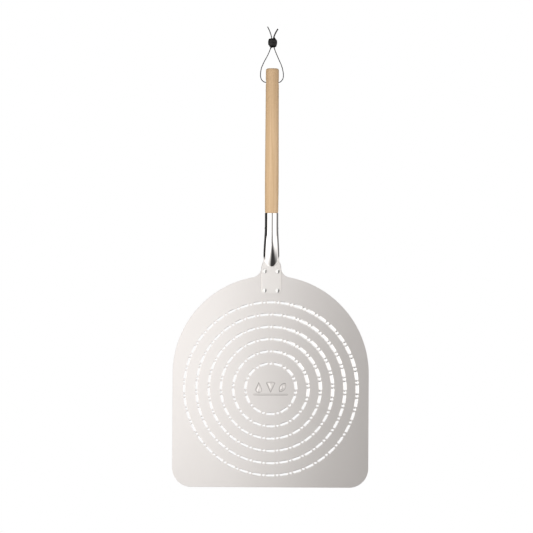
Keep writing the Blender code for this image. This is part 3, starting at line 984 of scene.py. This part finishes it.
def satin_aluminium():
    """Rolled sheet with a fine grain along the handle and light rubbing near the front edge."""
    look = Look("satin_aluminium", Metallic=1.0)
    grain = look.noise((2600, 90, 90), 3.0, 0.6)
    cloud = look.noise((9, 5, 5), 2.0)
    look.tint(cloud, (0.775, 0.741, 0.718, 1), (0.795, 0.761, 0.738, 1))
    along = look.axes(look.place)["Y"]
    rubbed = look.spread(along, BLADE_FRONT_Y, BLADE_FRONT_Y + RUBBED_LENGTH, 1.0, 0.0)
    scuffs = look.spread(look.noise((40, 1500, 40), 4.0, 0.7), 0.55, 0.75, 0.0, 0.06)
    fine = look.ranged(grain, 0.34, 0.40)
    look.output("Roughness", look.math("SUBTRACT", fine, look.math("MULTIPLY", rubbed, scuffs)))
    look.output("Normal", look.bump(grain, 0.08, 0.02 * MM))
    return look.material


def painted_shade_aluminium():
    """Painted shade: a darker metal on the engraving's outer walls, standing in for the shade along its
    edge.
    """
    look = Look("painted_shade_aluminium", Metallic=1.0)
    speckle = look.noise((2500, 2500, 2500), 3.0, 0.6)
    look.tint(speckle, (0.34, 0.32, 0.31, 1), (0.42, 0.40, 0.385, 1))
    look.output("Roughness", look.ranged(speckle, 0.45, 0.60))
    return look.material


def burnished_aluminium():
    """The holes' edges, rubbed bright by the deburring."""
    look = Look("burnished_aluminium", Metallic=1.0)
    rubbing = look.noise((700, 700, 700), 3.0, 0.6)
    look.tint(rubbing, (0.90, 0.88, 0.86, 1), (0.94, 0.92, 0.90, 1))
    look.output("Roughness", look.ranged(rubbing, 0.20, 0.30))
    return look.material


def socket_steel():
    """Polished tube whose pressed plate is linished dull."""
    look = Look("socket_steel", Metallic=1.0)
    place = look.axes(look.place)
    low_down = look.spread(place["Z"], PLATE_TOP_Z + DULL_RISE[0], PLATE_TOP_Z + DULL_RISE[1], 1.0, 0.0)
    forward = look.spread(place["Y"], PRESS_TIP_Y + DULL_REACH[0], PRESS_TIP_Y + DULL_REACH[1], 1.0, 0.0)
    dull = look.math("MULTIPLY", low_down, forward)
    look.output("Base Color", look.mix(dull, (0.90, 0.885, 0.87, 1), (0.83, 0.80, 0.775, 1)))
    grain = look.noise((1800, 70, 70), 3.0, 0.6)
    plate_roughness = look.ranged(grain, 0.38, 0.46)
    tube_roughness = look.spread(look.noise((60, 900, 60), 4.0, 0.6), 0.4, 0.8, 0.045, 0.09)
    look.output("Roughness", look.blend(dull, tube_roughness, plate_roughness))
    look.output("Normal", look.bump(grain, 0.03, 0.02 * MM))
    return look.material


def rivet_steel():
    """Polished nearly to a mirror, with faint dents."""
    look = Look("rivet_steel", Metallic=1.0, Base_Color=(0.80, 0.79, 0.77, 1))
    look.output("Roughness", look.ranged(look.noise((900, 900, 900), 3.0), 0.03, 0.06))
    look.output("Normal", look.bump(look.noise((500, 500, 500), 2.0), 0.02, 0.05 * MM))
    return look.material


def pin_steel():
    """Plain steel, a little duller than the rivets."""
    look = Look("pin_steel", Metallic=1.0, Base_Color=(0.75, 0.74, 0.72, 1))
    look.output("Roughness", look.ranged(look.noise((1500, 1500, 1500), 2.0), 0.18, 0.30))
    return look.material


def beech():
    """Pale oiled beech: soft growth stripes, short dark flecks and a slightly darker top end."""
    look = Look("beech", IOR=1.45)
    stripes = look.noise((260, 6, 260), 3.0, 0.55, 0.4)
    body = look.mix(look.ranged(stripes, 0.0, 1.0), (0.645, 0.436, 0.242, 1), (0.75, 0.525, 0.311, 1))
    flecks = look.spread(look.noise((1900, 160, 1900), 2.0, 0.5), 0.60, 0.70, 0.0, 0.22)
    flecked = look.mix(flecks, body, (0.43, 0.26, 0.13, 1))
    towards_top = look.spread(look.axes(look.place)["Y"], DARKER_FROM_Y, HANDLE_END_Y, 0.0, 0.45)
    shaded = look.mix(towards_top, flecked, (0.47, 0.31, 0.17, 1))
    look.output("Base Color", shaded)
    pores = look.noise((2600, 110, 2600), 3.0, 0.6)
    look.output("Roughness", look.ranged(pores, 0.44, 0.60))
    look.output("Normal", look.bump(pores, 0.15, 0.08 * MM))
    return look.material


def black_leather():
    """Waxed black leather with a fine pebble grain."""
    look = Look("black_leather", IOR=1.33)
    pebble = look.cells((1500, 1500, 1500))
    soft = look.noise((300, 300, 300), 3.0)
    patches = look.spread(soft, 0.35, 0.65, 0.0, 1.0)
    look.output("Base Color", look.mix(patches, (0.008, 0.0075, 0.007, 1), (0.018, 0.017, 0.016, 1)))
    look.output("Roughness", look.ranged(soft, 0.34, 0.50))
    look.output("Normal", look.bump(pebble, 0.35, 0.15 * MM))
    return look.material


# Studio

def studio_light(nodes):
    """White walls left and right, with a grey gap overhead that widens and darkens towards the front."""
    direction = nodes.axes(nodes.node("ShaderNodeTexCoord").outputs["Generated"])
    x, y, z = direction["X"], direction["Y"], direction["Z"]
    to_front = nodes.math("MULTIPLY", y, -1.0)
    across = nodes.math("DEGREES", nodes.math("ARCTAN2", x, z))
    forward = nodes.math("DEGREES", nodes.math("ARCSINE", to_front))
    bearing = nodes.math("DEGREES", nodes.math("ARCTAN2", x, to_front))
    elevation = nodes.math("DEGREES", nodes.math("ARCSINE", z))

    def step_at(value, place, blur, before, after):
        """A soft step of the value's size, blur degrees to each side of a place."""
        start = nodes.math("SUBTRACT", place, blur)
        end = nodes.math("ADD", place, blur)
        return nodes.spread(value, start, end, before, after)

    overhead = nodes.spread(elevation, *OVERHEAD, 0.0, 1.0)
    low_left_edge = nodes.spread(elevation, *LOW_LEFT_EDGE, "LINEAR")
    low_left = step_at(bearing, low_left_edge, LOW_LEFT_BLUR, 1.0, 0.0)
    on_left = nodes.blend(overhead, low_left, step_at(across, LEFT_EDGE, LEFT_BLUR, 1.0, 0.0))
    low_right_edge = nodes.spread(elevation, *LOW_RIGHT_EDGE, "LINEAR")
    low_right = step_at(bearing, low_right_edge, LOW_RIGHT_BLUR, 0.0, 1.0)
    on_right = nodes.blend(overhead, low_right, step_at(across, RIGHT_EDGE, RIGHT_BLUR, 0.0, 1.0))

    gap = nodes.spread(forward, 0, GAP_FRONT, GAP_LEVEL, GAP_FRONT_LEVEL, "LINEAR")
    left_foot = nodes.spread(forward, *LEFT_FOOT, "LINEAR")
    left_wall = step_at(across, left_foot, LEFT_FOOT_BLUR, LEFT_FOOT_LEVEL, LEFT_LEVEL)
    right_foot = nodes.spread(forward, *RIGHT_FOOT, "LINEAR")
    right_wall = step_at(across, right_foot, RIGHT_FOOT_BLUR, WALL_LEVEL, RIGHT_FOOT_LEVEL)
    all_round = nodes.blend(on_left, nodes.blend(on_right, gap, right_wall), left_wall)
    return nodes.math("MULTIPLY", all_round, nodes.spread(forward, *BACK, BACK_LEVEL, 1.0))


def make_world():
    """The camera sees plain white where the metal sees the studio's walls and gap."""
    world = bpy.data.worlds.new("studio")
    world.use_nodes = True
    bpy.context.scene.world = world
    nodes = Nodes(world.node_tree)
    seen = nodes.node("ShaderNodeLightPath").outputs["Is Camera Ray"]
    background = nodes.tree.nodes["Background"]
    background.inputs["Color"].default_value = LIGHT_COLOUR
    nodes.feed(background.inputs["Strength"], nodes.blend(seen, studio_light(nodes), SEEN_LEVEL))


def make_plane(name, low, high, z, glow):
    """A staged, level, glowing plane between its front left and back right corner."""
    left, front = low
    right, back = high
    mesh = bpy.data.meshes.new(name)
    corners = [(left, front, z), (right, front, z), (right, back, z), (left, back, z)]
    mesh.from_pydata(corners, [], [(0, 1, 2, 3)])
    look = Look(name, Roughness=1.0, Specular_IOR_Level=0.0, Base_Color=(0, 0, 0, 1))
    look.output("Emission Color", (1, 1, 1, 1))
    look.output("Emission Strength", glow)
    mesh.materials.append(look.material)
    plane = bpy.data.objects.new(name, mesh)
    bpy.context.scene.collection.objects.link(plane)
    return plane


def make_softboxes():
    """One overhead on the left, whose right edge is over the handle, and a narrower one behind right.

    They are near enough for the blade to get darker to the right and to the front."""
    for name, low, high in SOFTBOXES:
        softbox = make_plane(name, low, high, SOFTBOX_HEIGHT, WALL_LEVEL)
        softbox.visible_camera = False
        softbox.visible_shadow = False


def make_floor():
    """A plain white floor. It lights nothing, takes no shadow, and metal doesn't mirror it."""
    low = (-FLOOR_REACH, -FLOOR_REACH)
    high = (FLOOR_REACH, FLOOR_REACH)
    floor = make_plane("floor", low, high, FLOOR_Z, 1.0)
    floor.visible_diffuse = False
    floor.visible_glossy = False


make_camera()
make_thong(black_leather())
make_blade(satin_aluminium(), painted_shade_aluminium(), burnished_aluminium())
make_socket(socket_steel())
make_rivets(rivet_steel())
make_pin(pin_steel())
make_handle(beech())
make_world()
make_softboxes()
make_floor()
bpy.context.scene.view_settings.view_transform = "Standard"
